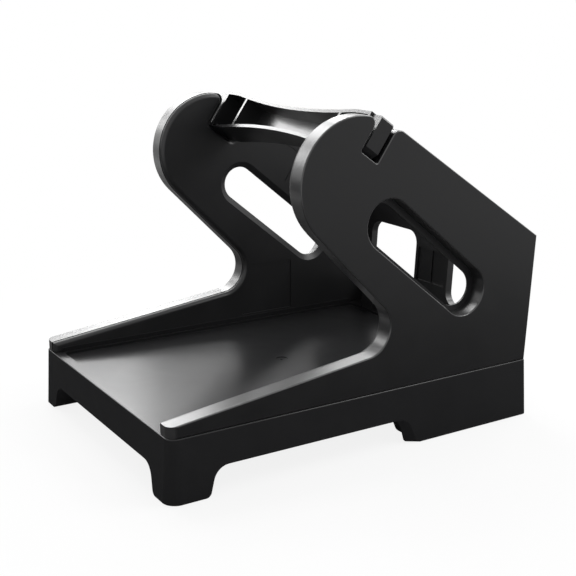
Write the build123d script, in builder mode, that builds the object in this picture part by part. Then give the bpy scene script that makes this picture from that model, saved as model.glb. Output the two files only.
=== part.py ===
from build123d import *
import os
from math import acos, atan, atan2, cos, degrees, hypot, radians, sin, tan

# Label roll holder: a moulded base, two hollow side walls, a rear panel and a roll shaft that lifts out.
# Millimetres. X runs across the stand, Y from the front (-) to the rear (+), Z up.
# The origin is on the floor, under the middle of the stand.

# Whole stand
stand_width = 134.0
base_length = 183.0
rear_overhang = 3.1  # how far the walls' upper rear corners stand behind the base
base_top = 27.0  # height of the parting plane between the base and the walls
base_flare = 1.6  # spread of the skirt from its top down to its foot
wall_inset = 0.4  # step from the edge of the base in to the walls
front_corner_radius = 4.2
rear_corner_radius = 1.5
overrun = 5.0  # how far a cut runs past the faces that it passes

# Base
pad_proud = 0.4  # the rubber pads stand this far below the skirt
skirt_wall = 3.2
floor_drop = 1.2  # the tray floor lies this far below the lip
floor_thickness = 2.4
floor_margin = 2.0
floor_corner_radius = 2.0
lip_width = 4.6
rear_ledge = 12.8
curb_height = 2.0
curb_width = 0.8
base_edge_radius = 0.5
gate_radius = 2.9
gate_depth = 0.35
gate_dot_radius = 0.7
gate_dot_height = 0.2
gate_offset = (4.0, -3.2)

# Arches and feet
arch_height = 12.4
arch_slant = 3.4
arch_radius = 7.0
foot_edge_radius = 2.6
foot_width = 14.4
front_foot_length = 18.1
rear_foot_length = 65.9
foot_wall = 2.4
foot_lead = 4.8  # the front face of a rear foot slants forward this far through the skirt wall
pad_radius = 4.0
pad_inset = 10.0  # from the foot of the skirt to the centre of a pad, front and rear
pad_recess = 1.2
pad_clearance = 0.1
pad_edge_radius = 0.3

# Ribs and screw wells beneath the tray floor
rib_thickness = 1.8
rib_height = 9.0
well_radius = 4.6
well_bore_radius = 3.1
well_drop = 10.0

# Screws
screw_radius = 1.45
screw_clearance = 0.25
pilot_clearance = 0.05
screw_head_radius = 2.6
screw_head_height = 1.9
screw_reach = 8.0  # how far a screw runs up into the wall or the rear panel
screw_tip_gap = 0.8
head_edge_radius = 0.6

# Side walls
wall_thickness = 10.0
cover_thickness = 2.5
cover_inset = 0.25  # the cover stands this far inside the outline of its shell
shell_skin = 2.5
rail_front_height = 31.7
rail_slope = 7.07  # degrees
head_radius = 27.5
head_setback_share = 0.4732  # of the base's length, from its front to the centre of the head
head_height = 117.0
notch_radius = 12.3
notch_behind_head = 5.25
shoulder_step = 1.1  # the sloped back stands this far outside the round of the head
back_slope = 33.6  # degrees
shell_edge_radius = 0.6
cover_edge_radius = 2.0  # round the rim, and not at the foot, the rear or the slot

# Windows in the walls
window_radius = 11.15
window_behind_head = 16.0  # the upper end, behind the centre of the head
window_front_share = 0.703  # its height between the centres of the notch and the head
window_rear_inset = 38.9  # the lower end, from the rear of the base
window_rear_share = 0.656  # its height between the base and the rear corner of the wall
window_rim = 2.8  # the hole in the cover is this much smaller all round
window_dish = 1.6  # depth of the sloped border round that hole

# Shaft slots
slot_lean = 35.0  # degrees from the vertical
slot_width = 10.0
slot_depth = 17.3
slot_behind_head = 4.75
slot_floor_radius = 1.0
slot_mouth_radius = 3.2
slot_shoulder_radius = 4.0

# Shallow fields on the inner covers
field_depth = 0.4
field_behind_notch = 10.25
field_length = 30.4
field_base = 30.0
field_height = 26.0
field_margin = 3.0
back_field_length = 34.0
back_field_width = 17.0
back_field_drop = 4.5
back_field_start = 36.5
field_corner_radius = 1.0

# Pillars, sockets and lugs that hold a wall together and on the base
wall_screw_shares = (0.35, 0.623, 0.907)  # of the base's length, from its front
wall_screw_inset = 4.4  # from the outer face of the wall
pillar_length = 9.0
pillar_height = 10.5
socket_radius = 3.2
pin_radius = 1.5
pin_length = 4.0
pin_clearance = 0.1
pin_spacing = 8.5  # from a socket to the edge of the window
rail_pin_setback = 32.0
rear_pin_inset = 9.0
rear_pin_height = 13.0
lug_setbacks = (18.0, 46.0)
lug_length = 12.0
lug_width = 2.4
lug_height = 3.4
lug_clearance = 0.2

# Rear panel
panel_thickness = 3.8
panel_drop = 0.4  # its top lies this far below the sloped backs of the walls
panel_clearance = 0.15
panel_edge_radius = 0.8
rear_side_band = 5.85  # width of the panel outside its openings
rear_opening_height_share = 0.534
rear_opening_sill_share = 0.232
rear_opening_radius = 6.5
upright_width = 25.6
upright_field_width = 21.5
upright_field_height_share = 0.28
upright_field_sill_share = 0.364
upright_field_depth = 0.7
upright_step_depth = 0.5
tab_length = 2.1
tab_height_share = 0.189
tab_thickness = 1.4
tab_clearance = 0.2
tab_sill_shares = (0.103, 0.635)
panel_boss_width = 9.0
panel_boss_depth = 8.4
panel_boss_height = 10.5
panel_screw_offset = 40.0
panel_screw_gap = 4.2  # from the front face of the panel to its screws

# Roll shaft
shaft_side_gap = 0.3
shaft_depth = 14.0
shaft_front_drop = 0.35  # its front lies this far behind the front of the slot
shaft_skin = 1.5
shaft_web = 2.0
shaft_channel_depth = 10.0
shaft_waist_height = 12.6
shaft_waist_lift = 2.2  # bottom of the waist above the floor of the slot
shaft_top_sagitta = 3.2
shaft_bottom_sagitta = 3.6
shaft_end_flat = 11.5  # length of the straight edges at each end
shaft_seat_front_gap = 2.0  # from its front to the edge of the cut-out in a cover
shaft_seat_gap = 0.6  # from its back and its foot to the edges of that cut-out
shaft_blend_radius = 30.0
shaft_rib_offset = 39.0
tongue_width = 7.2
tongue_height = 16.9
tongue_recess = 1.0  # its end lies this far inside the outer face of the wall
tongue_seat_gap = 0.3
tongue_chamfer = 0.8
tongue_toe = 3.0

# Places that follow from the sizes above
overall_length = base_flare + base_length + rear_overhang
skirt_foot = pad_proud
skirt_height = base_top - skirt_foot
skirt_taper = degrees(atan(base_flare / skirt_height))
base_front = -overall_length / 2 + base_flare
base_rear = base_front + base_length
base_middle = (base_front + base_rear) / 2
base_width = stand_width + 2 * wall_inset
foot_front = base_front - base_flare
foot_rear = base_rear + base_flare
foot_half_width = base_width / 2 + base_flare
floor_top = base_top - floor_drop
floor_under = floor_top - floor_thickness
cavity_height = floor_under - skirt_foot
wall_outer = stand_width / 2
wall_inner = wall_outer - wall_thickness
shell_inner = wall_inner + cover_thickness
shell_depth = wall_outer - shell_inner
pocket_depth = shell_depth - shell_skin
wall_front = base_front + wall_inset
wall_rear = base_rear - wall_inset
wall_screw_x = wall_outer - wall_screw_inset
wall_screw_places = tuple(base_front + share * base_length for share in wall_screw_shares)


def on_wall(point):
    """A point given from the front of the base and above the floor, in the Y and Z of the stand."""
    return (base_front + point[0], point[1])


def along(point, direction, distance):
    """The point that lies a distance away in a direction."""
    return (point[0] + distance * direction[0], point[1] + distance * direction[1])


def heading(angle):
    """Unit direction at an angle in degrees."""
    return (cos(radians(angle)), sin(radians(angle)))


# Outline of a side wall: the rail, the notch, the neck, the head, the sloped back and the leaning rear edge
head_centre = on_wall((head_setback_share * base_length, head_height))
notch_y = head_centre[0] + notch_behind_head
notch_floor = rail_front_height + (notch_y - wall_front) * tan(radians(rail_slope))
notch_centre = (notch_y, notch_floor + notch_radius / cos(radians(rail_slope)))
centre_gap = hypot(notch_centre[0] - head_centre[0], notch_centre[1] - head_centre[1])
centre_angle = degrees(atan2(notch_centre[1] - head_centre[1], notch_centre[0] - head_centre[0]))
neck_angle = centre_angle - degrees(acos((head_radius + notch_radius) / centre_gap))
neck_on_head = along(head_centre, heading(neck_angle), head_radius)
neck_on_notch = along(notch_centre, heading(neck_angle), -notch_radius)
rail_on_notch = along(notch_centre, heading(rail_slope - 90), notch_radius)
notch_mid_angle = (rail_slope - 90 + neck_angle + 180) / 2
notch_mid = along(notch_centre, heading(notch_mid_angle), notch_radius)
back_normal = heading(90 - back_slope)
back_run = heading(-back_slope)
head_mid_angle = (neck_angle + 360 + 90 - back_slope) / 2
head_mid = along(head_centre, heading(head_mid_angle), head_radius)
head_top = along(head_centre, back_normal, head_radius)
shoulder = along(head_centre, back_normal, head_radius + shoulder_step)
rear_corner_y = overall_length / 2
rear_corner = (rear_corner_y, shoulder[1] - (rear_corner_y - shoulder[0]) * tan(radians(back_slope)))
rear_lean = degrees(atan((rear_corner[0] - wall_rear) / (rear_corner[1] - base_top)))
panel_line = heading(90 - rear_lean)

# The shaft slot, whose floor lies slot_depth below the sloped back
slot_up = heading(90 - slot_lean)
slot_front = heading(180 - slot_lean)
slot_y = head_centre[0] + slot_behind_head
slot_floor = (
    slot_y,
    shoulder[1]
    - (slot_y - shoulder[0]) * tan(radians(back_slope))
    - slot_depth / cos(radians(back_slope)),
)
slot_plane = Plane(
    origin=(0, slot_floor[0], slot_floor[1]),
    x_dir=(1, 0, 0),
    z_dir=(0, slot_front[0], slot_front[1]),
)

# The shaft, from the plane of its slots: its front, and the levels of its waist and of its ends
shaft_half = shell_inner - shaft_side_gap
shaft_front = slot_width / 2 - shaft_front_drop
waist_top = shaft_waist_lift + shaft_waist_height
end_top = waist_top + shaft_top_sagitta
end_bottom = shaft_waist_lift - shaft_bottom_sagitta

# Edges of a slot: ahead of its plane, behind it and below its floor. The shells' slots take the tongues,
# and the covers' wider ones take the ends of the bar.
tongue_slot = (slot_width / 2, slot_width / 2, 0)
bar_slot = (
    shaft_front + shaft_seat_front_gap,
    shaft_depth - shaft_front + shaft_seat_gap,
    shaft_seat_gap - end_bottom,
)

window_ends = (
    (
        head_centre[0] + window_behind_head,
        notch_centre[1] + window_front_share * (head_centre[1] - notch_centre[1]),
    ),
    (base_rear - window_rear_inset, base_top + window_rear_share * (rear_corner[1] - base_top)),
)
window_centre = tuple((a + b) / 2 for a, b in zip(*window_ends))
window_gap = hypot(window_ends[1][0] - window_ends[0][0], window_ends[1][1] - window_ends[0][1])
window_angle = degrees(atan2(window_ends[1][1] - window_ends[0][1], window_ends[1][0] - window_ends[0][0]))
window_run = heading(window_angle)
window_normal = heading(window_angle + 90)

# Sockets that take the pins of a cover, each set from the feature beside it
pin_reach = window_radius + pin_spacing
pin_places = (
    along(head_centre, heading(180), head_radius - pin_spacing),
    along(window_centre, window_normal, pin_reach),
    along(window_centre, window_normal, -pin_reach),
    along(window_ends[1], window_run, pin_reach),
    (base_rear - rear_pin_inset, base_top + rear_pin_height),
    along(rear_corner, heading(180 + rear_lean), 2 * rear_pin_inset),
    (base_front + rail_pin_setback, (base_top + rail_front_height) / 2
     + rail_pin_setback * tan(radians(rail_slope)) / 2),
)
lug_places = tuple(base_front + setback for setback in lug_setbacks)


def under_slope(foot):
    """Where a line up from a foot, leaning as the rear edges lean, meets the top of the rear panel."""
    fall = tan(radians(back_slope))
    rise = shoulder[1] - panel_drop / cos(radians(back_slope)) - (foot[0] - shoulder[0]) * fall - foot[1]
    return along(foot, panel_line, rise / (panel_line[1] + panel_line[0] * fall))


def plan_outline(plane, width, front, rear, front_radius, rear_radius):
    """A rectangle in plan with its own radii at the front and rear corners."""
    with BuildSketch(plane) as plan:
        with Locations((0, (front + rear) / 2)):
            Rectangle(width, rear - front)
        fillet(plan.vertices().group_by(Axis.Y)[0], front_radius)
        fillet(plan.vertices().group_by(Axis.Y)[-1], rear_radius)
    return plan.sketch


def slot_cut(edges):
    """Cuts a slot, open at its top, from the outline that is being drawn."""
    front, rear, drop = edges
    length = slot_depth + drop + overrun
    with Locations(along(along(slot_floor, slot_up, length / 2 - drop), slot_front, (front - rear) / 2)):
        Rectangle(length, front + rear, rotation=90 - slot_lean, mode=Mode.SUBTRACT)


def wall_outline(plane, hole_radius, edges):
    """A side wall seen from the side, with its window and its shaft slot."""
    with BuildSketch(plane) as outline:
        with BuildLine():
            Polyline(
                neck_on_notch,
                neck_on_head,
            )
            ThreePointArc(neck_on_head, head_mid, head_top)
            Polyline(
                head_top,
                shoulder,
                rear_corner,
                (wall_rear, base_top),
                (wall_front, base_top),
                (wall_front, rail_front_height),
                rail_on_notch,
            )
            ThreePointArc(rail_on_notch, notch_mid, neck_on_notch)
        make_face()
        slot_cut(edges)
        front, rear, drop = edges
        for edge, mouth_radius in ((front, slot_mouth_radius), (-rear, slot_shoulder_radius)):
            side = along(slot_floor, slot_front, edge)
            corner = along(side, slot_up, -drop)
            fillet(outline.vertices().sort_by_distance((*corner, 0))[0], slot_floor_radius)
            mouth = along(side, slot_up, slot_depth)
            fillet(outline.vertices().sort_by_distance((*mouth, 0))[0], mouth_radius)
        with Locations(window_centre):
            SlotCenterToCenter(window_gap, 2 * hole_radius, rotation=window_angle, mode=Mode.SUBTRACT)
    return outline.sketch


def wall_pocket(plane):
    """The hollow in a shell, a skin inside its edges. The nose of the rail, rounded in plan, stays solid."""
    hollow_head = head_radius - shell_skin
    hollow_notch = notch_radius + shell_skin
    on_head = along(head_centre, heading(neck_angle), hollow_head)
    on_notch = along(notch_centre, heading(neck_angle), -hollow_notch)
    on_rail = along(notch_centre, heading(rail_slope - 90), hollow_notch)
    crown = along(head_centre, back_normal, hollow_head)
    brow = along(crown, back_normal, shoulder_step)
    front = wall_front + front_corner_radius
    foot = base_top + shell_skin
    rear = wall_rear - shell_skin / cos(radians(rear_lean))
    fall = tan(radians(back_slope))
    lean = tan(radians(rear_lean))
    rear_y = (rear + lean * (brow[1] + fall * brow[0] - base_top)) / (1 + fall * lean)
    with BuildSketch(plane) as pocket:
        with BuildLine():
            Line(on_notch, on_head)
            ThreePointArc(on_head, along(head_centre, heading(head_mid_angle), hollow_head), crown)
            Polyline(
                crown,
                brow,
                (rear_y, brow[1] - fall * (rear_y - brow[0])),
                (rear + lean * shell_skin, foot),
                (front, foot),
                (front, on_rail[1] - (on_rail[0] - front) * tan(radians(rail_slope))),
                on_rail,
            )
            ThreePointArc(on_rail, along(notch_centre, heading(notch_mid_angle), hollow_notch), on_notch)
        make_face()
        with Locations(window_centre):
            SlotCenterToCenter(
                window_gap, 2 * (window_radius + shell_skin), rotation=window_angle, mode=Mode.SUBTRACT
            )
        slot_cut([edge + shell_skin for edge in bar_slot])
    return pocket.sketch


def arch_outline(plane, left, right):
    """The opening of an arch between two feet, with rounded foot edges, from side to side of the base."""
    with BuildSketch(plane) as arch:
        with BuildLine():
            Polyline(
                (-overall_length, skirt_foot - overrun),
                (-overall_length, skirt_foot),
                (left, skirt_foot),
                (left + arch_slant, arch_height),
                (right - arch_slant, arch_height),
                (right, skirt_foot),
                (overall_length, skirt_foot),
                (overall_length, skirt_foot - overrun),
                close=True,
            )
        make_face()
        feet = [arch.vertices().sort_by_distance((side, skirt_foot, 0))[0] for side in (left, right)]
        fillet(feet, foot_edge_radius)
        crowns = arch.vertices().group_by(Axis.Y)[-1]
        fillet(crowns, arch_radius)
    return arch.sketch


# Base tray
skirt_outline = plan_outline(
    Plane.XY.offset(skirt_foot),
    2 * foot_half_width,
    foot_front,
    foot_rear,
    front_corner_radius + base_flare,
    rear_corner_radius + base_flare,
)
cavity_outline = plan_outline(
    Plane.XY.offset(skirt_foot),
    2 * (foot_half_width - skirt_wall),
    foot_front + skirt_wall,
    foot_rear - skirt_wall,
    front_corner_radius + base_flare - skirt_wall,
    rear_corner_radius,
)
floor_outline = plan_outline(
    Plane.XY.offset(base_top),
    2 * (wall_inner - floor_margin),
    base_front + lip_width,
    base_rear - rear_ledge,
    floor_corner_radius,
    floor_corner_radius,
)
front_arch_edge = foot_half_width - foot_width
side_arch_front = foot_front + front_foot_length
side_arch_rear = foot_rear - rear_foot_length
front_arch = arch_outline(Plane.XZ.offset(overall_length), -front_arch_edge, front_arch_edge)
side_arch = arch_outline(Plane.YZ.offset(-overall_length), side_arch_front, side_arch_rear)
foot_inner = front_arch_edge - arch_slant
hollow_inner = front_arch_edge + foot_wall
# Start and end of each foot's box, and of the hollow in it
foot_boxes = (
    (foot_front, side_arch_front + arch_slant, foot_front, side_arch_front - foot_wall),
    (side_arch_rear - arch_slant, foot_rear, side_arch_rear + foot_wall, foot_rear),
)
pad_x = (front_arch_edge + foot_half_width) / 2
pad_ends = {"front": foot_front + pad_inset, "rear": foot_rear - pad_inset}
panel_front = wall_rear - panel_thickness / cos(radians(rear_lean))
panel_feet = ((panel_front, base_top), (wall_rear, base_top))
panel_tops = [under_slope(foot) for foot in panel_feet]
panel_height = hypot(panel_tops[0][0] - panel_front, panel_tops[0][1] - base_top)
tab_height = tab_height_share * panel_height
tab_sills = [share * panel_height for share in tab_sill_shares]
panel_screw_y = panel_front - panel_screw_gap
well_places = [(side * wall_screw_x, place) for side in (-1, 1) for place in wall_screw_places]
well_places += [(side * panel_screw_offset, panel_screw_y) for side in (-1, 1)]
rib_middle = floor_under - rib_height / 2

# The four hollow feet: boxes inside the skirt, closed at the bottom and cut by the arches
with BuildPart() as feet:
    for side in (-1, 1):
        for start, end, hollow_start, hollow_end in foot_boxes:
            with Locations((side * (foot_inner + foot_half_width) / 2, (start + end) / 2, skirt_foot)):
                Box(
                    foot_half_width - foot_inner,
                    end - start,
                    cavity_height,
                    align=(Align.CENTER, Align.CENTER, Align.MIN),
                )
            hollow_x = side * (hollow_inner + foot_half_width) / 2
            with Locations((hollow_x, (hollow_start + hollow_end) / 2, skirt_foot + foot_wall)):
                Box(
                    foot_half_width - hollow_inner,
                    hollow_end - hollow_start,
                    cavity_height,
                    align=(Align.CENTER, Align.CENTER, Align.MIN),
                    mode=Mode.SUBTRACT,
                )
    extrude(skirt_outline, amount=cavity_height, taper=skirt_taper, mode=Mode.INTERSECT)
    extrude(front_arch, amount=-2 * overall_length, mode=Mode.SUBTRACT)
    extrude(side_arch, amount=2 * overall_length, mode=Mode.SUBTRACT)

# The slanted front faces of the rear feet, in the thickness of the skirt
lead_start = side_arch_rear - foot_lead - arch_slant - arch_radius
lead_end = side_arch_rear + foot_edge_radius
with BuildPart() as leads:
    for side in (-1, 1):
        wall_middle = side * (foot_half_width - skirt_wall / 2)
        with Locations((wall_middle, (lead_start + lead_end) / 2, skirt_foot)):
            Box(
                skirt_wall,
                lead_end - lead_start,
                cavity_height,
                align=(Align.CENTER, Align.CENTER, Align.MIN),
            )
    extrude(skirt_outline, amount=cavity_height, taper=skirt_taper, mode=Mode.INTERSECT)
    for side in (-1, 1):
        skin_arch = arch_outline(Plane.YZ.offset(side * foot_half_width), side_arch_front, side_arch_rear)
        extrude(
            skin_arch,
            amount=hypot(skirt_wall, foot_lead),
            dir=(-side * skirt_wall, -foot_lead, 0),
            mode=Mode.SUBTRACT,
        )

with BuildPart() as base_tray:
    extrude(skirt_outline, amount=skirt_height, taper=skirt_taper)
    top_edges = base_tray.faces().sort_by(Axis.Z)[-1].edges()
    fillet(top_edges, base_edge_radius)
    extrude(cavity_outline, amount=cavity_height, taper=skirt_taper, mode=Mode.SUBTRACT)
    extrude(floor_outline, amount=-floor_drop, mode=Mode.SUBTRACT)
    extrude(front_arch, amount=-2 * overall_length, mode=Mode.SUBTRACT)
    extrude(side_arch, amount=2 * overall_length, mode=Mode.SUBTRACT)
    add(feet.part)
    add(leads.part)
    # Ribs under the floor, which tie the screw wells and the feet
    for side in (-1, 1):
        with Locations((side * panel_screw_offset, base_middle, rib_middle)):
            Box(rib_thickness, base_length - skirt_wall, rib_height)
        with Locations((side * (front_arch_edge + foot_wall / 2), base_middle, rib_middle)):
            Box(foot_wall, base_length - skirt_wall, rib_height)
    for place in wall_screw_places:
        with Locations((0, place, rib_middle)):
            Box(base_width - skirt_wall, rib_thickness, rib_height)
    # Screw wells, bored from beneath, with a clearance hole on through the top
    with Locations(*[(x, y, floor_under - well_drop) for x, y in well_places]):
        Cylinder(well_radius, well_drop, align=(Align.CENTER, Align.CENTER, Align.MIN))
    with Locations(*[(side * pad_x, y, skirt_foot) for side in (-1, 1) for y in pad_ends.values()]):
        Cylinder(pad_radius + pad_clearance, 2 * pad_recess, mode=Mode.SUBTRACT)
    with Locations(*[(x, y, skirt_foot) for x, y in well_places]):
        Cylinder(
            well_bore_radius,
            cavity_height,
            align=(Align.CENTER, Align.CENTER, Align.MIN),
            mode=Mode.SUBTRACT,
        )
    with Locations(*[(x, y, base_top) for x, y in well_places]):
        Cylinder(screw_radius + screw_clearance, 2 * (base_top - floor_under), mode=Mode.SUBTRACT)
    # Curbs along the foot of the walls, and the lugs that the walls drop over
    for side in (-1, 1):
        curb_start = base_front + lip_width
        curb_end = panel_front - panel_boss_depth
        with Locations((side * (wall_inner - curb_width / 2), (curb_start + curb_end) / 2, base_top)):
            Box(
                curb_width,
                curb_end - curb_start,
                curb_height,
                align=(Align.CENTER, Align.CENTER, Align.MIN),
            )
        with Locations(*[(side * (shell_inner + pocket_depth / 2), y, base_top) for y in lug_places]):
            Box(lug_width, lug_length, lug_height, align=(Align.CENTER, Align.CENTER, Align.MIN))
    # The mark that the moulding gate leaves on the floor: a dimple with a dot in it
    with Locations((gate_offset[0], gate_offset[1], floor_top)):
        Cylinder(gate_radius, 2 * gate_depth, mode=Mode.SUBTRACT)
    with Locations((gate_offset[0], gate_offset[1], floor_top - gate_depth)):
        Cylinder(
            gate_dot_radius, gate_dot_height, align=(Align.CENTER, Align.CENTER, Align.MIN)
        )

base_tray.part.label = "base_tray"

# Rubber pads in the bottoms of the feet
pads = []
for end_name, pad_y in pad_ends.items():
    for side_name, side in (("left", -1), ("right", 1)):
        with BuildPart() as pad:
            with Locations((side * pad_x, pad_y, 0)):
                Cylinder(
                    pad_radius, pad_proud + pad_recess, align=(Align.CENTER, Align.CENTER, Align.MIN)
                )
            fillet(pad.faces().sort_by(Axis.Z)[0].edges(), pad_edge_radius)
        pad.part.label = f"foot_pad_{end_name}_{side_name}"
        pads.append(pad.part)

# Side wall shells
shell_outline = wall_outline(Plane.YZ.offset(shell_inner), window_radius, tongue_slot)
shell_pocket = wall_pocket(Plane.YZ.offset(shell_inner))
wall_plan = plan_outline(
    Plane.XY, stand_width, wall_front, rear_corner_y + overrun, front_corner_radius, rear_corner_radius
)
with BuildPart() as wall_envelope:
    extrude(wall_plan, amount=2 * head_height)

with BuildPart() as wall_shell_right:
    extrude(shell_outline, amount=shell_depth)
    extrude(shell_pocket, amount=pocket_depth, mode=Mode.SUBTRACT)
    # Pillars for the screws from beneath
    shell_middle = shell_inner + shell_depth / 2
    with Locations(*[(shell_middle, y, base_top) for y in wall_screw_places]):
        Box(shell_depth, pillar_length, pillar_height, align=(Align.CENTER, Align.CENTER, Align.MIN))
    with Locations(*[(wall_screw_x, y, base_top) for y in wall_screw_places]):
        Cylinder(
            screw_radius + pilot_clearance,
            2 * (screw_reach + screw_tip_gap),
            mode=Mode.SUBTRACT,
        )
    # Sockets for the cover's pins
    with BuildSketch(Plane.YZ.offset(shell_inner)):
        with Locations(*pin_places):
            Circle(socket_radius)
    extrude(amount=shell_depth - shell_skin / 2)
    with BuildSketch(Plane.YZ.offset(shell_inner)):
        with Locations(*pin_places):
            Circle(pin_radius + pin_clearance)
    extrude(amount=pin_length + pin_clearance, mode=Mode.SUBTRACT)
    # Slots that drop over the lugs of the base
    with Locations(*[(shell_inner + pocket_depth / 2, y, base_top) for y in lug_places]):
        Box(
            lug_width + 2 * lug_clearance,
            lug_length + 2 * lug_clearance,
            2 * (lug_height + lug_clearance),
            mode=Mode.SUBTRACT,
        )
    outer_face = wall_shell_right.faces().filter_by(Axis.X).sort_by(Axis.X)[-1]
    fillet(outer_face.edges(), shell_edge_radius)
    add(wall_envelope.part, mode=Mode.INTERSECT)

wall_shell_right.part.label = "wall_shell_right"

with BuildPart() as wall_shell_left:
    mirror(wall_shell_right.part, about=Plane.YZ)

wall_shell_left.part.label = "wall_shell_left"

# Inner covers, with pins towards the shells
cover_hole_radius = window_radius - window_rim
cover_outline = offset(
    wall_outline(
        Plane.YZ.offset(wall_inner),
        cover_hole_radius - cover_inset,
        [edge - cover_inset for edge in bar_slot],
    ),
    amount=-cover_inset,
)

with BuildPart() as wall_cover_right:
    extrude(cover_outline, amount=cover_thickness)
    inner_face = wall_cover_right.faces().filter_by(Axis.X).sort_by(Axis.X)[0]
    head_middle = Vector(wall_inner, *head_centre)
    rim_edges = [
        edge
        for edge in inner_face.outer_wire().edges()
        if (edge @ 0.5).Z > base_top + cover_edge_radius
        and (edge @ 0.5).Y < wall_rear - cover_edge_radius
        and (edge @ 0.5 - head_middle).length > head_radius - 2 * cover_inset
    ]
    fillet(rim_edges, cover_edge_radius)
    # The border of the window, which slopes from the inner face down to the hole
    for depth, radius in ((0, window_radius), (window_dish, cover_hole_radius)):
        with BuildSketch(Plane.YZ.offset(wall_inner + depth)):
            with Locations(window_centre):
                SlotCenterToCenter(window_gap, 2 * radius, rotation=window_angle)
    loft(ruled=True, mode=Mode.SUBTRACT)
    with BuildSketch(Plane.YZ.offset(shell_inner)):
        with Locations(*pin_places):
            Circle(pin_radius)
    extrude(amount=pin_length)
    # Shallow field between the notch and the foot of the wall
    with BuildSketch(Plane.YZ.offset(wall_inner)) as front_field:
        with Locations((notch_y + field_behind_notch + field_length / 2, field_base + field_height / 2)):
            Rectangle(field_length, field_height)
        fillet(front_field.vertices(), field_corner_radius)
        with Locations(notch_centre):
            Circle(notch_radius + field_margin, mode=Mode.SUBTRACT)
    extrude(amount=field_depth, mode=Mode.SUBTRACT)
    # Shallow field under the sloped back, behind the shaft slot
    back_field_centre = along(
        along(shoulder, back_run, back_field_start - head_radius + back_field_length / 2 + field_margin),
        back_normal,
        -back_field_drop - back_field_width / 2,
    )
    with BuildSketch(Plane.YZ.offset(wall_inner)) as back_field:
        with Locations(back_field_centre):
            Rectangle(back_field_length, back_field_width, rotation=-back_slope)
        fillet(back_field.vertices(), field_corner_radius)
    extrude(amount=field_depth, mode=Mode.SUBTRACT)
    # Holes for the tabs of the rear panel
    with BuildSketch(Plane.YZ.offset(wall_inner)):
        for sill in tab_sills:
            tab_middle = along((panel_front, base_top), panel_line, sill + tab_height / 2)
            with Locations(along(tab_middle, heading(-rear_lean), tab_thickness / 2)):
                Rectangle(
                    tab_height + 2 * tab_clearance,
                    tab_thickness + 2 * tab_clearance,
                    rotation=90 - rear_lean,
                )
    extrude(amount=cover_thickness, mode=Mode.SUBTRACT)
    add(wall_envelope.part, mode=Mode.INTERSECT)

wall_cover_right.part.label = "wall_cover_right"

with BuildPart() as wall_cover_left:
    mirror(wall_cover_right.part, about=Plane.YZ)

wall_cover_left.part.label = "wall_cover_left"

# Rear panel, which leans with the rear edges of the walls
panel_plane = Plane(
    origin=(0, panel_front, base_top),
    x_dir=(1, 0, 0),
    z_dir=(0, -cos(radians(rear_lean)), sin(radians(rear_lean))),
)
panel_half = wall_inner - panel_clearance
rear_opening_width = panel_half - upright_width / 2 - rear_side_band
rear_opening_centre = (upright_width + rear_opening_width) / 2
rear_opening_height = rear_opening_height_share * panel_height
rear_opening_middle = rear_opening_sill_share * panel_height + rear_opening_height / 2
upright_field_height = upright_field_height_share * panel_height
upright_field_middle = upright_field_sill_share * panel_height + upright_field_height / 2

with BuildPart() as rear_panel:
    with BuildSketch(Plane.YZ):
        with BuildLine():
            Polyline(*panel_feet, *reversed(panel_tops), close=True)
        make_face()
    extrude(amount=panel_half, both=True)
    fillet(rear_panel.faces().sort_by(Axis.Z)[-1].edges().filter_by(Axis.X), panel_edge_radius)
    with BuildSketch(panel_plane):
        with Locations(*[(side * rear_opening_centre, rear_opening_middle) for side in (-1, 1)]):
            RectangleRounded(rear_opening_width, rear_opening_height, rear_opening_radius)
    extrude(amount=-panel_thickness, mode=Mode.SUBTRACT)
    # The field on the upright, deeper on one side
    with BuildSketch(panel_plane):
        with Locations((0, upright_field_middle)):
            Rectangle(upright_field_width, upright_field_height)
    extrude(amount=-upright_field_depth, mode=Mode.SUBTRACT)
    with BuildSketch(panel_plane):
        with Locations((upright_field_width / 4, upright_field_middle)):
            Rectangle(upright_field_width / 2, upright_field_height)
    extrude(amount=-upright_field_depth - upright_step_depth, mode=Mode.SUBTRACT)
    # Bosses at the foot, which sit on the rear ledge of the base
    for side in (-1, 1):
        with Locations((side * panel_screw_offset, panel_front + panel_thickness / 2, base_top)):
            Box(
                panel_boss_width,
                panel_boss_depth + panel_thickness / 2,
                panel_boss_height,
                align=(Align.CENTER, Align.MAX, Align.MIN),
            )
    with Locations(*[(side * panel_screw_offset, panel_screw_y, base_top) for side in (-1, 1)]):
        Cylinder(
            screw_radius + pilot_clearance,
            2 * (screw_reach + screw_tip_gap),
            mode=Mode.SUBTRACT,
        )
    # Tabs that enter the covers
    with BuildSketch(panel_plane):
        for side in (-1, 1):
            for sill in tab_sills:
                with Locations((side * panel_half, sill + tab_height / 2)):
                    Rectangle(2 * tab_length, tab_height)
    extrude(amount=-tab_thickness)

rear_panel.part.label = "rear_panel"

def shaft_outline(plane, skin):
    """The bar seen from its front, less a skin along its curved edges and its ends."""
    half = shaft_half - skin
    curve_end = shaft_half - shaft_end_flat
    low, low_middle = end_bottom + skin, shaft_waist_lift + skin
    high, high_middle = end_top - skin, waist_top - skin
    with BuildSketch(plane) as bar:
        with BuildLine():
            ThreePointArc((-curve_end, low), (0, low_middle), (curve_end, low))
            Polyline((curve_end, low), (half, low), (half, high), (curve_end, high))
            ThreePointArc((curve_end, high), (0, high_middle), (-curve_end, high))
            Polyline((-curve_end, high), (-half, high), (-half, low), (-curve_end, low))
        make_face()
        for side in (-1, 1):
            for level in (low, high):
                blend = bar.vertices().sort_by_distance((side * curve_end, level, 0))[0]
                fillet(blend, shaft_blend_radius)
        if skin > 0:
            with Locations((-shaft_rib_offset, 0), (shaft_rib_offset, 0)):
                Rectangle(skin, 2 * (end_top - end_bottom), mode=Mode.SUBTRACT)
    return bar.sketch


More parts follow.
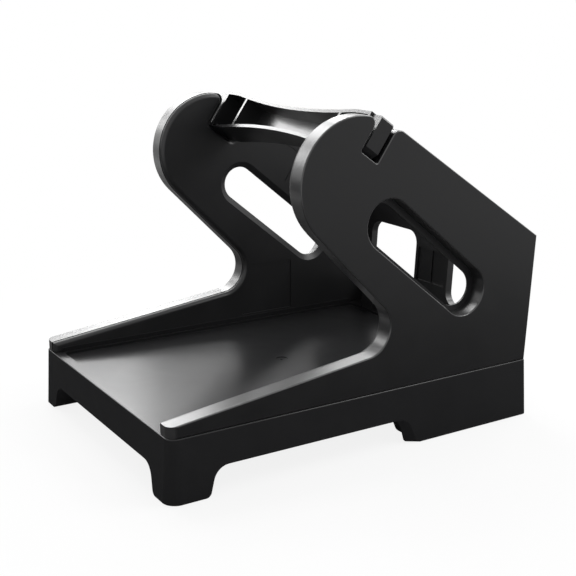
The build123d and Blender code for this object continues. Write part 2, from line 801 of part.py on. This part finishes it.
# Roll shaft: a waisted channel bar with a tongue at each end
shaft_bar = shaft_outline(slot_plane.offset(shaft_front), 0)
shaft_channel = shaft_outline(slot_plane.offset(shaft_front), shaft_skin)
shaft_back = shaft_outline(slot_plane.offset(shaft_front - shaft_depth), shaft_skin)
back_channel_depth = shaft_depth - shaft_channel_depth - shaft_web
tongue_length = wall_outer - tongue_recess - shaft_half

with BuildPart() as roll_shaft:
    extrude(shaft_bar, amount=-shaft_depth)
    extrude(shaft_channel, amount=-shaft_channel_depth, mode=Mode.SUBTRACT)
    extrude(shaft_back, amount=back_channel_depth, mode=Mode.SUBTRACT)
    for side in (-1, 1):
        with BuildSketch(slot_plane.offset(tongue_width / 2)) as tongue:
            with Locations((side * (shaft_half + tongue_length / 2), tongue_seat_gap + tongue_height / 2)):
                Rectangle(tongue_length, tongue_height)
            tip_corners = tongue.vertices().group_by(Axis.X)[0 if side < 0 else -1].sort_by(Axis.Y)
            chamfer(tip_corners[0], tongue_toe)
            chamfer(tip_corners[1], tongue_chamfer)
        extrude(amount=-tongue_width)

roll_shaft.part.label = "roll_shaft"


def screws(places, reach):
    """Pan head screws that stand in the wells of the base."""
    with BuildPart() as group:
        with Locations(*[(x, y, floor_under - screw_head_height) for x, y in places]):
            Cylinder(
                screw_head_radius, screw_head_height, align=(Align.CENTER, Align.CENTER, Align.MIN)
            )
        heads = group.faces().filter_by(Axis.Z).group_by(Axis.Z)[0]
        fillet(heads.edges(), head_edge_radius)
        with Locations(*[(x, y, floor_under) for x, y in places]):
            Cylinder(
                screw_radius,
                base_top - floor_under + reach,
                align=(Align.CENTER, Align.CENTER, Align.MIN),
            )
    return group.part


screw_groups = {
    "wall_screws_left": [(-wall_screw_x, place) for place in wall_screw_places],
    "wall_screws_right": [(wall_screw_x, place) for place in wall_screw_places],
    "rear_panel_screws": [(side * panel_screw_offset, panel_screw_y) for side in (-1, 1)],
}
screw_parts = []
for group_name, places in screw_groups.items():
    group = screws(places, screw_reach)
    group.label = group_name
    screw_parts.append(group)

os.makedirs("parts", exist_ok=True)
pieces = [
    base_tray.part,
    wall_shell_left.part,
    wall_shell_right.part,
    wall_cover_left.part,
    wall_cover_right.part,
    rear_panel.part,
    roll_shaft.part,
    *pads,
    *screw_parts,
]
for piece in pieces:
    export_step(piece, f"parts/{piece.label}.step")
    print(piece.label, round(piece.volume), "mm3")
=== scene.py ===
from math import cos, pi, radians, sin

import bmesh
import bpy
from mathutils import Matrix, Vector

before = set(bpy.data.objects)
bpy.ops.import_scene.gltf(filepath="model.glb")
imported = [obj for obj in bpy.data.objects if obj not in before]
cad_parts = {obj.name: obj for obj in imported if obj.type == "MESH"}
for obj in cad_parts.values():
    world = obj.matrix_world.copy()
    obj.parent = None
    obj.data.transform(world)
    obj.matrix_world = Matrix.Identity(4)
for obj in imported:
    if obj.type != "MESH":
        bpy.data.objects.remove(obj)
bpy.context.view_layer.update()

MM = 0.001
WHITE = "#ffffff"

# The label roll holder is moulded in black ABS: satin, with a fine spark-eroded grain on what shows.
# The lamps are plain soft boxes, and the surroundings are white, as in a studio.


def linear(hex_colour):
    """An sRGB hex colour as the linear red, green, blue and alpha that the shaders take."""
    channels = [int(hex_colour[i:i + 2], 16) / 255 for i in (1, 3, 5)]
    return (*(c / 12.92 if c <= 0.04045 else ((c + 0.055) / 1.055) ** 2.4 for c in channels), 1.0)


def add(tree, kind, inputs=None, **settings):
    """Adds a node. Settings are its own options; inputs are values, or the sockets that feed it."""
    made = tree.nodes.new(kind)
    for name, value in settings.items():
        setattr(made, name, value)
    for name, value in (inputs or {}).items():
        if isinstance(value, bpy.types.NodeSocket):
            tree.links.new(value, made.inputs[name])
        else:
            made.inputs[name].default_value = value
    return made


def new_material(name):
    """A new material and its empty node tree."""
    material = bpy.data.materials.new(name)
    material.use_nodes = True
    material.node_tree.nodes.clear()
    return material, material.node_tree


def set_stops(ramp, *stops):
    """Gives a colour ramp its two stops, each a position and an sRGB hex colour."""
    for element, (position, colour) in zip(ramp.color_ramp.elements, stops):
        element.position, element.color = position, linear(colour)


def edge_and_rim_faces(tree):
    """1 on a wall's rims and rounded edges, which run across the stand, and 0 on its flat sides."""
    flat_side, rim = 0.995, 0.9  # how much of such a face's normal lies across the stand
    normal = add(tree, "ShaderNodeNewGeometry").outputs["Normal"]
    across = add(tree, "ShaderNodeSeparateXYZ", {"Vector": normal}).outputs["X"]
    size = add(tree, "ShaderNodeMath", {0: across}, operation="ABSOLUTE").outputs["Value"]
    return add(tree, "ShaderNodeMapRange", {
        "Value": size, "From Min": flat_side, "From Max": rim, "To Min": 0.0, "To Max": 1.0,
    }).outputs["Result"]


def upward_faces(tree):
    """1 on faces that look up, and 0 on upright ones."""
    upright_limit, upward_limit = 0.15, 0.4  # how much of the normal points up
    normal = add(tree, "ShaderNodeNewGeometry").outputs["Normal"]
    upward = add(tree, "ShaderNodeSeparateXYZ", {"Vector": normal}).outputs["Z"]
    return add(tree, "ShaderNodeMapRange", {
        "Value": upward, "From Min": upright_limit, "From Max": upward_limit, "To Min": 0.0, "To Max": 1.0,
    }).outputs["Result"]


def moulded_abs(name, dark, light, roughness, specular, grain_mm, grain_depth_mm,
                polished, polish, polish_roughness, polish_ior):
    """Black ABS, injection moulded. The spark-eroded mould leaves a fine grain, and the melt's flow leaves
    faint cloudy changes of gloss. The polished faces are glossier. The real grain, of about 0.1 mm, is too
    fine to show, so it is drawn some six times coarser."""
    flow_mm = 22.0  # size of a cloudy patch
    smoother, rougher = 0.04, 0.05  # how far the patches' roughness goes to each side
    material, tree = new_material(name)
    place = add(tree, "ShaderNodeTexCoord").outputs["Object"]
    grain = add(tree, "ShaderNodeTexNoise", {
        "Vector": place, "Scale": 1 / (grain_mm * MM), "Detail": 3.0, "Roughness": 0.6,
    })
    flow = add(tree, "ShaderNodeTexNoise", {
        "Vector": place, "Scale": 1 / (flow_mm * MM), "Detail": 2.0, "Distortion": 0.6,
    })
    # A Mix node's colour sockets have no names of their own: 6 and 7 go in, and 2 comes out
    colour = add(tree, "ShaderNodeMix", {
        "Factor": flow.outputs["Fac"], 6: linear(dark), 7: linear(light),
    }, data_type="RGBA")
    rough = add(tree, "ShaderNodeMapRange", {
        "Value": flow.outputs["Fac"], "From Min": 0.3, "From Max": 0.7,
        "To Min": roughness - smoother, "To Max": roughness + rougher,
    })
    bump = add(tree, "ShaderNodeBump", {
        "Height": grain.outputs["Fac"], "Strength": 1.0, "Distance": grain_depth_mm * MM,
    })
    shader = add(tree, "ShaderNodeBsdfPrincipled", {
        "Base Color": colour.outputs[2], "Roughness": rough.outputs["Result"], "IOR": 1.53,
        "Normal": bump.outputs["Normal"], "Specular IOR Level": specular,
        "Coat Normal": bump.outputs["Normal"], "Coat Roughness": polish_roughness, "Coat IOR": polish_ior,
    })
    weight = add(tree, "ShaderNodeMath", {0: polished(tree), 1: polish}, operation="MULTIPLY")
    tree.links.new(weight.outputs["Value"], shader.inputs["Coat Weight"])
    add(tree, "ShaderNodeOutputMaterial", {"Surface": shader.outputs["BSDF"]})
    return material


def moulded_rubber():
    """Black rubber, compression moulded: matt, slightly dusty, with a fine pebble grain."""
    pebble_mm, pebble_depth_mm, dust_mm = 0.5, 0.05, 2.5
    material, tree = new_material("black rubber, moulded")
    place = add(tree, "ShaderNodeTexCoord").outputs["Object"]
    pebble = add(tree, "ShaderNodeTexVoronoi", {"Vector": place, "Scale": 1 / (pebble_mm * MM)})
    dust = add(tree, "ShaderNodeTexNoise", {"Vector": place, "Scale": 1 / (dust_mm * MM), "Detail": 4.0})
    colour = add(tree, "ShaderNodeValToRGB", {"Fac": dust.outputs["Fac"]})
    set_stops(colour, (0.35, "#161616"), (0.75, "#2b2a29"))
    rough = add(tree, "ShaderNodeMapRange", {"Value": dust.outputs["Fac"], "To Min": 0.7, "To Max": 0.95})
    bump = add(tree, "ShaderNodeBump", {
        "Height": pebble.outputs["Distance"], "Strength": 0.6, "Distance": pebble_depth_mm * MM,
    })
    shader = add(tree, "ShaderNodeBsdfPrincipled", {
        "Base Color": colour.outputs["Color"], "Roughness": rough.outputs["Result"], "IOR": 1.52,
        "Specular IOR Level": 0.35, "Normal": bump.outputs["Normal"],
    })
    add(tree, "ShaderNodeOutputMaterial", {"Surface": shader.outputs["BSDF"]})
    return material


def zinc_steel():
    """Zinc-plated steel, cold headed: a cool grey, with a faint spangle and a slightly uneven haze. The
    plating's real crystals are too fine to show, so the spangle is drawn coarser."""
    spangle_mm, haze_mm, haze_depth_mm = 0.7, 1.2, 0.02
    material, tree = new_material("zinc-plated steel, cold headed")
    place = add(tree, "ShaderNodeTexCoord").outputs["Object"]
    spangle = add(tree, "ShaderNodeTexVoronoi", {"Vector": place, "Scale": 1 / (spangle_mm * MM)})
    haze = add(tree, "ShaderNodeTexNoise", {"Vector": place, "Scale": 1 / (haze_mm * MM), "Detail": 3.0})
    colour = add(tree, "ShaderNodeValToRGB", {"Fac": haze.outputs["Fac"]})
    set_stops(colour, (0.3, "#8b8f94"), (0.7, "#b6b8ba"))
    rough = add(tree, "ShaderNodeMapRange", {
        "Value": spangle.outputs["Distance"], "To Min": 0.24, "To Max": 0.42,
    })
    bump = add(tree, "ShaderNodeBump", {
        "Height": haze.outputs["Fac"], "Strength": 0.3, "Distance": haze_depth_mm * MM,
    })
    shader = add(tree, "ShaderNodeBsdfPrincipled", {
        "Base Color": colour.outputs["Color"], "Metallic": 1.0, "Roughness": rough.outputs["Result"],
        "Normal": bump.outputs["Normal"],
    })
    add(tree, "ShaderNodeOutputMaterial", {"Surface": shader.outputs["BSDF"]})
    return material


def dress(node, material):
    """Gives a CAD node its material."""
    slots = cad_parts[node].material_slots
    if not slots:
        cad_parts[node].data.materials.append(material)
    for slot in slots:
        slot.material = material


# The base's skirt is satin, and its tray and lip are glossier, so they mirror the pale surroundings
base_finish = moulded_abs(
    "black ABS, moulded base", dark="#212122", light="#252526", roughness=0.38, specular=0.03,
    grain_mm=0.7, grain_depth_mm=0.03,
    polished=upward_faces, polish=0.55, polish_roughness=0.2, polish_ior=1.5,
)
# The walls' flat sides are satin and nearly black, and bright lines run along their rims
wall_finish = moulded_abs(
    "black ABS, moulded wall", dark="#181819", light="#1c1c1d", roughness=0.36, specular=0.24,
    grain_mm=0.6, grain_depth_mm=0.03,
    polished=edge_and_rim_faces, polish=1.0, polish_roughness=0.3, polish_ior=1.62,
)
# The inner covers are a little duller than the walls, on the rims too
cover_finish = moulded_abs(
    "black ABS, moulded inner cover", dark="#1c1c1d", light="#212122", roughness=0.42, specular=0.25,
    grain_mm=0.6, grain_depth_mm=0.03,
    polished=edge_and_rim_faces, polish=0.45, polish_roughness=0.3, polish_ior=1.5,
)
# The rear panel is satin, with a gloss on its top edge and on the lower edges of its openings
panel_finish = moulded_abs(
    "black ABS, moulded rear panel", dark="#1c1c1d", light="#212122", roughness=0.4, specular=0.4,
    grain_mm=0.6, grain_depth_mm=0.03,
    polished=upward_faces, polish=1.0, polish_roughness=0.24, polish_ior=1.5,
)
# The bar is the glossiest piece: its coat's IOR is above that of ABS, for the bright reflection along it
bar_finish = moulded_abs(
    "black ABS, moulded bar", dark="#1a1a1b", light="#202021", roughness=0.36, specular=0.2,
    grain_mm=0.6, grain_depth_mm=0.02,
    polished=upward_faces, polish=1.0, polish_roughness=0.24, polish_ior=2.5,
)
rubber = moulded_rubber()
steel = zinc_steel()

dress("base_tray", base_finish)
dress("rear_panel", panel_finish)
dress("roll_shaft", bar_finish)
dress("rear_panel_screws", steel)
for side in ("left", "right"):
    dress(f"wall_shell_{side}", wall_finish)
    dress(f"wall_cover_{side}", cover_finish)
    dress(f"wall_screws_{side}", steel)
    for end in ("front", "rear"):
        dress(f"foot_pad_{end}_{side}", rubber)


# Camera, at the photograph's angle: the near right front corner, a little above the stand
FRAME_PIXELS = 576
FOCAL_PIXELS = 1065.4
SENSOR_WIDTH_MM = 36.0
CAMERA_PLACE = (0.4075, -0.25175, 0.1867)
CAMERA_DIRECTION = Vector((-0.8193, 0.5118, -0.2582))

camera_data = bpy.data.cameras.new("camera")
camera_data.sensor_width = SENSOR_WIDTH_MM
camera_data.lens = FOCAL_PIXELS / FRAME_PIXELS * camera_data.sensor_width
camera = bpy.data.objects.new("camera", camera_data)
bpy.context.scene.collection.objects.link(camera)
camera.location = CAMERA_PLACE
camera.rotation_euler = CAMERA_DIRECTION.to_track_quat("-Z", "Y").to_euler()
bpy.context.scene.camera = camera


def camera_and_mirrored_rays(tree):
    """Two sockets: 1 for a ray from the camera, and 1 for a ray that is reflected or goes through glass."""
    path = add(tree, "ShaderNodeLightPath")
    mirrored = add(tree, "ShaderNodeMath", {
        0: path.outputs["Is Glossy Ray"], 1: path.outputs["Is Transmission Ray"],
    }, operation="ADD", use_clamp=True)
    return path.outputs["Is Camera Ray"], mirrored.outputs["Value"]


def white_surroundings():
    """The world: white where it is seen or mirrored, and a plain soft light on the object."""
    soft_light = 0.5
    world = bpy.data.worlds.new("white studio")
    world.use_nodes = True
    tree = world.node_tree
    tree.nodes.clear()
    from_camera, mirrored = camera_and_mirrored_rays(tree)
    seen = add(tree, "ShaderNodeMath", {0: from_camera, 1: mirrored}, operation="ADD", use_clamp=True)
    strength = add(tree, "ShaderNodeMapRange", {
        "Value": seen.outputs["Value"], "To Min": soft_light, "To Max": 1.0,
    })
    light = add(tree, "ShaderNodeBackground", {
        "Color": linear(WHITE), "Strength": strength.outputs["Result"],
    })
    add(tree, "ShaderNodeOutputWorld", {"Surface": light.outputs["Background"]})
    bpy.context.scene.world = world


def studio_board(name, corners, material):
    """A flat board with four corners, for the studio round the object."""
    outline = bmesh.new()
    outline.faces.new([outline.verts.new(corner) for corner in corners])
    mesh = bpy.data.meshes.new(name)
    outline.to_mesh(mesh)
    outline.free()
    mesh.materials.append(material)
    board = bpy.data.objects.new(name, mesh)
    bpy.context.scene.collection.objects.link(board)
    return board


def pale_floor():
    """A matt white table top that keeps the stand's shadow and turns to plain white away from it. What a
    reflection sees of it has a painted shade round the stand.
    """
    half = 3.0
    shadow_end, white_start, white_near = 0.1, 0.3, 0.86  # two radii, and how white it is at the stand
    # the painted shade: the white that a reflection sees glows dimmer near the stand
    painted_shade_end, bright_start, painted_shade_near = 0.2, 0.55, 0.12  # the same for what a reflection sees of it
    material, tree = new_material("white table top")
    place = add(tree, "ShaderNodeTexCoord").outputs["Object"]
    away = add(tree, "ShaderNodeVectorMath", {0: place}, operation="LENGTH").outputs["Value"]
    from_camera, mirrored = camera_and_mirrored_rays(tree)
    # The camera sees a white table; a reflection sees a painted grey shade round the stand, out to half a
    # metre, where the white glows dimmer
    whiteness = add(tree, "ShaderNodeMapRange", {
        "Value": away, "From Min": shadow_end, "From Max": white_start, "To Min": white_near, "To Max": 1.0,
    }, interpolation_type="SMOOTHSTEP")
    painted_shade = add(tree, "ShaderNodeMapRange", {
        "Value": away, "From Min": painted_shade_end, "From Max": bright_start, "To Min": painted_shade_near, "To Max": 1.0,
    }, interpolation_type="SMOOTHSTEP")
    share = add(tree, "ShaderNodeMath", {
        0: whiteness.outputs["Result"], 1: from_camera, 2: mirrored,
    }, operation="MULTIPLY_ADD")
    # The white glows at full strength for the camera, and at the painted shade's strength for a reflection
    strength = add(tree, "ShaderNodeMath", {
        0: painted_shade.outputs["Result"], 1: mirrored, 2: from_camera,
    }, operation="MULTIPLY_ADD")
    matt = add(tree, "ShaderNodeBsdfDiffuse", {"Color": linear("#f4f4f4")})
    white = add(tree, "ShaderNodeEmission", {
        "Color": linear(WHITE), "Strength": strength.outputs["Value"],
    })
    both = add(tree, "ShaderNodeMixShader", {
        "Fac": share.outputs["Value"], 1: matt.outputs["BSDF"], 2: white.outputs["Emission"],
    })
    add(tree, "ShaderNodeOutputMaterial", {"Surface": both.outputs["Shader"]})
    corners = [(-half, -half, 0), (half, -half, 0), (half, half, 0), (-half, half, 0)]
    floor = studio_board("floor", corners, material)


STUDIO_MIDDLE = Vector((0.0, 0.0, 0.06))


def soft_box(name, turn, rise, distance, width, height, radiance):
    """A soft box that faces the stand, at an angle from +X towards +Y and an angle above the table top."""
    outward = Vector((cos(radians(turn)) * cos(radians(rise)), sin(radians(turn)) * cos(radians(rise)),
                      sin(radians(rise))))
    data = bpy.data.lights.new(name, "AREA")
    data.shape, data.size, data.size_y = "RECTANGLE", width, height
    data.energy = radiance * pi * width * height
    lamp = bpy.data.objects.new(name, data)
    bpy.context.scene.collection.objects.link(lamp)
    lamp.location = STUDIO_MIDDLE + distance * outward
    lamp.rotation_euler = (-outward).to_track_quat("-Z", "Y").to_euler()
    lamp.visible_camera = False


def black_flag(name, turn, distance, width, height):
    """A black card that stands on the table. Only reflections see it: it keeps the white off the front."""
    material, tree = new_material("black card, matt")
    matt = add(tree, "ShaderNodeBsdfDiffuse", {"Color": linear("#0a0a0a")})
    add(tree, "ShaderNodeOutputMaterial", {"Surface": matt.outputs["BSDF"]})
    outward = Vector((cos(radians(turn)), sin(radians(turn)), 0.0))
    along = Vector((-outward.y, outward.x, 0.0)) * width / 2
    foot = distance * outward
    up = Vector((0.0, 0.0, height))
    card = studio_board(name, [foot - along, foot + along, foot + along + up, foot - along + up], material)
    card.visible_camera = card.visible_diffuse = card.visible_shadow = False


white_surroundings()
pale_floor()
soft_box("left soft box, high", turn=177, rise=58, distance=1.0, width=0.5, height=0.35, radiance=4.8)
soft_box("left soft box", turn=180, rise=35, distance=1.0, width=0.4, height=0.3, radiance=5.0)
soft_box("left soft box, towards the front", turn=206, rise=25, distance=1.0,
         width=0.36, height=0.26, radiance=4.6)
soft_box("left soft box, low", turn=165, rise=23, distance=1.0, width=0.17, height=0.17, radiance=7.8)
soft_box("left soft box, above the rails", turn=152, rise=29, distance=1.0,
         width=0.2, height=0.12, radiance=10.0)
black_flag("flag, front left", turn=232, distance=0.42, width=0.44, height=0.12)
soft_box("rear soft box, high", turn=98, rise=50, distance=1.0, width=0.5, height=0.35, radiance=4.0)
soft_box("right soft box", turn=48, rise=36, distance=0.46, width=0.24, height=0.2, radiance=4.6)

bpy.context.scene.view_settings.view_transform = "Standard"
